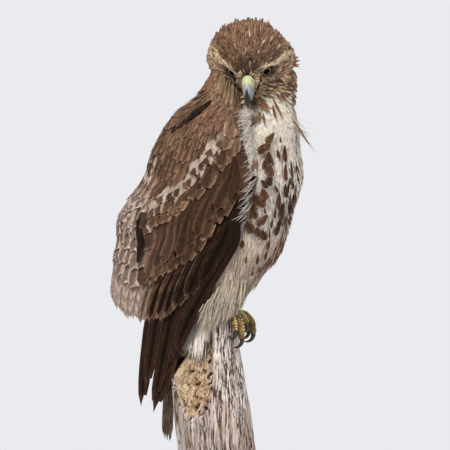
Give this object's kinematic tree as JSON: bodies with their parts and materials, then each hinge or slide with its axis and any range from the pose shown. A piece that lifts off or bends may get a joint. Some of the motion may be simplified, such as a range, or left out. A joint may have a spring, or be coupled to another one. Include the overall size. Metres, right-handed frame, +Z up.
{
  "type": "red-tailed hawk",
  "caption": "Life-size perched young hawk with folded wings, head turned over its shoulder, on the broken top of a dead trunk held by a plain round stand.",
  "frame": {"origin": "centre of the stand's round base, on its underside", "axes": "+Z up along the bird's height; the breast faces +X and a little -Y; the bill points to -Y"},
  "size_m": [0.218, 0.2, 0.5111],
  "materials": {
    "head_feathers": "matt feathers, brown with buff streaks",
    "body_feathers": "matt feathers, cream with brown spots",
    "wing_feathers": "matt feathers, brown with paler fringes",
    "tail_feathers": "matt feathers, brown with narrow dark bars",
    "undertail": "loose white feathers",
    "cere": "smooth skin, pale yellow-green",
    "bill": "horn, blue-grey at the base and black at the tip",
    "eye": "wet, pale brown iris with a black pupil",
    "feet": "scaled skin, dull yellow",
    "talons": "black horn",
    "wood": "dead wood, grey and weathered, tan where it is broken",
    "stand": "satin dark grey"
  },
  "bodies": {
    "root": {"head": "head_feathers", "neck": "head_feathers", "torso": "body_feathers", "cere": "cere", "bill_upper": "bill", "bill_lower": "bill", "eye_right": "eye", "wing_right": "wing_feathers", "leg_right": "body_feathers", "foot_right": "feet", "talon_right_hallux": "talons", "talon_right_inner": "talons", "talon_right_middle": "talons", "talon_right_outer": "talons", "eye_left": "eye", "wing_left": "wing_feathers", "leg_left": "body_feathers", "foot_left": "feet", "talon_left_hallux": "talons", "talon_left_inner": "talons", "talon_left_middle": "talons", "talon_left_outer": "talons", "tail": "tail_feathers", "undertail_coverts": "undertail", "perch": "wood", "stand_base": "stand", "stand_rod_1": "stand", "stand_rod_2": "stand"}
  },
  "joints": []
}
